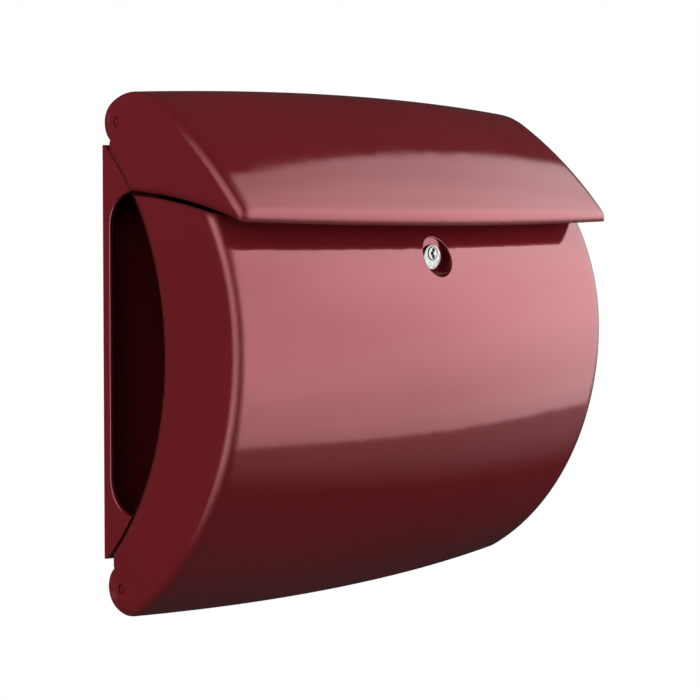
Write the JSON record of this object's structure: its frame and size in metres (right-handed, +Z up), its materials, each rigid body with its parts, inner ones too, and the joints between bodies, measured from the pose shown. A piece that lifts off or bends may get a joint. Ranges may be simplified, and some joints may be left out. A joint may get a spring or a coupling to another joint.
{
  "type": "wall mailbox",
  "caption": "Wall mailbox with a crowned lid over a letter slot, a curved locking door hinged at the bottom and an open newspaper tunnel behind.",
  "frame": {"origin": "centre of the four wall-screw holes, on the wall face of the back plate", "axes": "+X to the right seen from the front, +Y into the wall, +Z up"},
  "size_m": [0.412, 0.1689, 0.4025],
  "materials": {
    "shell_red": "deep red high-gloss moulded plastic",
    "pin_red": "red turned plastic pin, slightly duller than the shells",
    "lock_chrome": "plated lock metal",
    "zinc_steel": "zinc-plated steel"
  },
  "bodies": {
    "housing": {"back_plate": "shell_red", "inner_shell": "shell_red", "shell_screws": "zinc_steel", "lid_pin_left": "pin_red", "lid_pin_right": "pin_red", "door_pin_left": "pin_red", "door_pin_right": "pin_red"},
    "lid": {"lid": "shell_red"},
    "door": {"door": "shell_red", "lock_barrel": "lock_chrome", "lock_washer": "zinc_steel", "lock_nut": "zinc_steel"},
    "lock_core": {"lock_plug": "lock_chrome", "lock_cam": "zinc_steel", "cam_screw": "zinc_steel"}
  },
  "joints": [
    {"name": "lid_hinge", "type": "hinge", "parent": "housing", "child": "lid", "pos_m": [0, -0.0188, 0.1725], "axis": [-1, 0, 0], "range_deg": [0, 55]},
    {"name": "door_hinge", "type": "hinge", "parent": "housing", "child": "door", "pos_m": [0, -0.022, -0.176], "axis": [1, 0, 0], "range_deg": [0, 70]},
    {"name": "lock_turn", "type": "hinge", "parent": "door", "child": "lock_core", "pos_m": [0, -0.14, 0.074], "axis": [0, -1, 0], "range_deg": [0, 90]}
  ]
}
